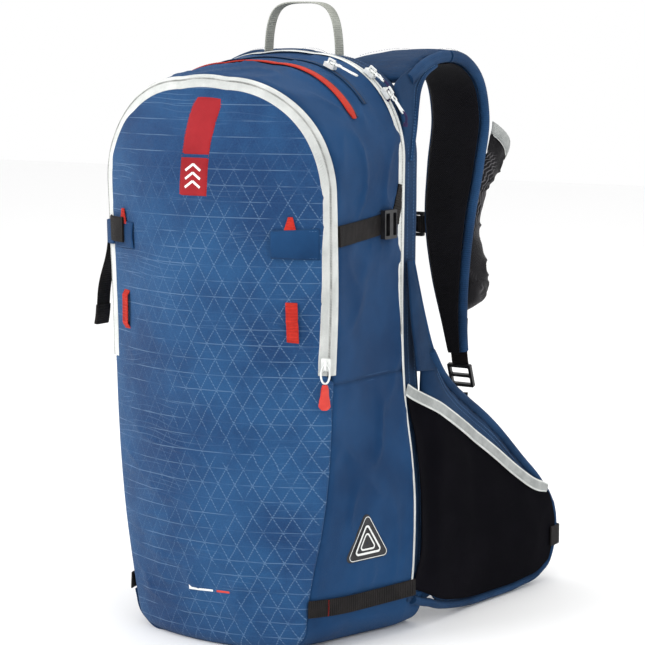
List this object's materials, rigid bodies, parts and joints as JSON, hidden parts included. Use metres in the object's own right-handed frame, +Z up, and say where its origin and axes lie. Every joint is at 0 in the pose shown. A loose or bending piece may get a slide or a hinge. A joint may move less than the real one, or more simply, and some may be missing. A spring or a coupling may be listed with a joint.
{
  "type": "ski backpack",
  "caption": "Ski touring backpack with a zipped front flap, padded harness, mesh flask pocket and hip belt wings with stretch pockets.",
  "frame": {"origin": "centre of the whole pack's footprint on the ground", "axes": "+Z up, -Y towards the front panel, +X to the side that carries the flask pocket"},
  "size_m": [0.3302, 0.4612, 0.625],
  "materials": {
    "main_fabric": "coated polyester, tone-on-tone weave",
    "front_fabric": "ripstop with a triangular grid",
    "lining": "light grey lining",
    "white_zip": "coated zip tape",
    "red_trim": "coated zip tape and webbing",
    "stripe": "printed cloth",
    "webbing_black": "woven webbing",
    "webbing_grey": "woven webbing",
    "stretch_black": "stretch knit",
    "mesh_black": "open mesh",
    "grey_elastic": "woven elastic",
    "foam_cloth": "padded mesh cloth",
    "black_plastic": "moulded acetal",
    "white_metal": "painted zinc",
    "red_rubber": "moulded rubber",
    "patch_rubber": "moulded rubber",
    "frame_plastic": "polyethylene sheet"
  },
  "bodies": {
    "root": {"bottom_panel": "main_fabric", "side_panel_right": "main_fabric", "side_panel_left": "main_fabric", "gusset_band": "main_fabric", "front_lower_panel": "front_fabric", "front_zip_pack_tape": "white_zip", "flap_fold_panel": "front_fabric", "back_panel": "main_fabric", "back_pads": "foam_cloth", "frame_sheet": "frame_plastic", "tool_divider": "lining", "tool_sleeves": "lining", "main_zip": "white_zip", "back_seam_piping": "white_zip", "top_pocket_zip": "red_trim", "goggle_zip": "main_fabric", "compression_straps": "webbing_black", "compression_anchors": "webbing_black", "lower_side_straps": "webbing_black", "rubber_patch": "patch_rubber", "shoulder_yoke": "main_fabric", "shoulder_strap_right": "foam_cloth", "shoulder_strap_left": "foam_cloth", "flask_pocket": "mesh_black", "strap_webbings": "webbing_black", "hip_wing_roots": "main_fabric"},
    "flap": {"front_flap": "front_fabric", "front_zip_flap_tape": "white_zip", "centre_stripe": "stripe", "badge_patch": "stripe", "side_tabs": "front_fabric", "ski_loops": "red_trim"},
    "front_slider": {"front_slider": "white_metal"},
    "front_pull": {"front_pull": "white_metal", "front_pull_grip": "red_rubber"},
    "goggle_slider": {"goggle_slider": "white_metal"},
    "goggle_pull": {"goggle_pull": "white_metal"},
    "main_slider_upper": {"main_slider_upper": "white_metal"},
    "main_pull_upper": {"main_pull_upper": "white_metal"},
    "main_slider_lower": {"main_slider_lower": "white_metal"},
    "main_pull_lower": {"main_pull_lower": "white_metal"},
    "haul_loop": {"haul_loop": "webbing_grey"},
    "compression_buckle_right": {"compression_buckle_right": "black_plastic"},
    "compression_buckle_left": {"compression_buckle_left": "black_plastic"},
    "strap_tail": {"strap_tail_left": "webbing_black"},
    "sternum_strap": {"sternum_clips": "black_plastic", "sternum_webbing_right": "webbing_black", "sternum_webbing_left": "webbing_black", "sternum_buckle_female": "black_plastic"},
    "sternum_male": {"sternum_buckle_male": "black_plastic"},
    "ladder_right": {"ladder_lock_right": "black_plastic"},
    "ladder_left": {"ladder_lock_left": "black_plastic"},
    "wing_right": {"hip_wing_right": "main_fabric", "hip_pocket_right": "stretch_black", "hip_webbing_right": "webbing_black", "hip_buckle_female": "black_plastic"},
    "wing_left": {"hip_wing_left": "main_fabric", "hip_pocket_left": "stretch_black", "hip_webbing_left": "webbing_black", "hip_buckle_male": "black_plastic"}
  },
  "joints": [
    {"name": "flap_open", "type": "hinge", "parent": "root", "child": "flap", "pos_m": [0, -0.212, 0.262], "axis": [1, 0, 0], "range_deg": [0, 105], "deforming": ["flap_fold_panel"]},
    {"name": "front_slide", "type": "slide", "parent": "root", "child": "front_slider", "axis": [0.03, 0, 0.9996], "range_m": [0, 0.14]},
    {"name": "front_pull_swing", "type": "hinge", "parent": "front_slider", "child": "front_pull", "pos_m": [0.12882, -0.19533, 0.28492], "axis": [-0.8921, -0.4511, 0.0268], "range_deg": [0, 140]},
    {"name": "goggle_slide", "type": "hinge", "parent": "root", "child": "goggle_slider", "pos_m": [0.02945, -0.102, 0.46499], "axis": [0, 1, 0], "range_deg": [-20, 22]},
    {"name": "goggle_pull_swing", "type": "hinge", "parent": "goggle_slider", "child": "goggle_pull", "pos_m": [0.07464, -0.102, 0.56649], "axis": [0, -1, 0], "range_deg": [0, 140]},
    {"name": "main_slide_upper", "type": "hinge", "parent": "root", "child": "main_slider_upper", "pos_m": [0.03082, -0.065, 0.47249], "axis": [0, 1, 0], "range_deg": [-34, 0]},
    {"name": "main_pull_upper_swing", "type": "hinge", "parent": "main_slider_upper", "child": "main_pull_upper", "pos_m": [0.09802, -0.065, 0.55851], "axis": [0, -1, 0], "range_deg": [0, 110]},
    {"name": "main_slide_lower", "type": "hinge", "parent": "root", "child": "main_slider_lower", "pos_m": [0.03082, -0.065, 0.47249], "axis": [0, 1, 0], "range_deg": [0, 36]},
    {"name": "main_pull_lower_swing", "type": "hinge", "parent": "main_slider_lower", "child": "main_pull_lower", "pos_m": [0.118, -0.065, 0.53818], "axis": [0, -1, 0], "range_deg": [0, 140]},
    {"name": "haul_swing", "type": "hinge", "parent": "root", "child": "haul_loop", "pos_m": [0, -0.039, 0.575], "axis": [1, 0, 0], "range_deg": [-45, 45]},
    {"name": "compression_tilt_right", "type": "hinge", "parent": "root", "child": "compression_buckle_right", "pos_m": [0.1345, -0.086, 0.411], "axis": [0, 0, 1], "range_deg": [0, 40]},
    {"name": "compression_tilt_left", "type": "hinge", "parent": "root", "child": "compression_buckle_left", "pos_m": [-0.1345, -0.086, 0.411], "axis": [0, 0, -1], "range_deg": [0, 40]},
    {"name": "tail_swing", "type": "hinge", "parent": "root", "child": "strap_tail", "pos_m": [-0.14, -0.172, 0.392], "axis": [0, 1, 0], "range_deg": [-8, 50]},
    {"name": "sternum_height", "type": "slide", "parent": "root", "child": "sternum_strap", "axis": [0, 0.1483, 0.9889], "range_m": [-0.03, 0.03]},
    {"name": "sternum_release", "type": "slide", "parent": "sternum_strap", "child": "sternum_male", "axis": [-1, 0, 0], "range_m": [0, 0.016], "deforming": ["sternum_webbing_left"]},
    {"name": "ladder_tilt_right", "type": "hinge", "parent": "root", "child": "ladder_right", "pos_m": [0.104, 0.0993, 0.2443], "axis": [1, 0, 0], "range_deg": [-25, 30]},
    {"name": "ladder_tilt_left", "type": "hinge", "parent": "root", "child": "ladder_left", "pos_m": [-0.104, 0.0993, 0.2443], "axis": [1, 0, 0], "range_deg": [-25, 30]},
    {"name": "hip_wing_swing_right", "type": "hinge", "parent": "root", "child": "wing_right", "pos_m": [0.1435, 0.047, 0.1], "axis": [0, 0, -1], "range_deg": [-12, 40]},
    {"name": "hip_wing_swing_left", "type": "hinge", "parent": "root", "child": "wing_left", "pos_m": [-0.1435, 0.047, 0.1], "axis": [0, 0, 1], "range_deg": [-12, 40]}
  ]
}
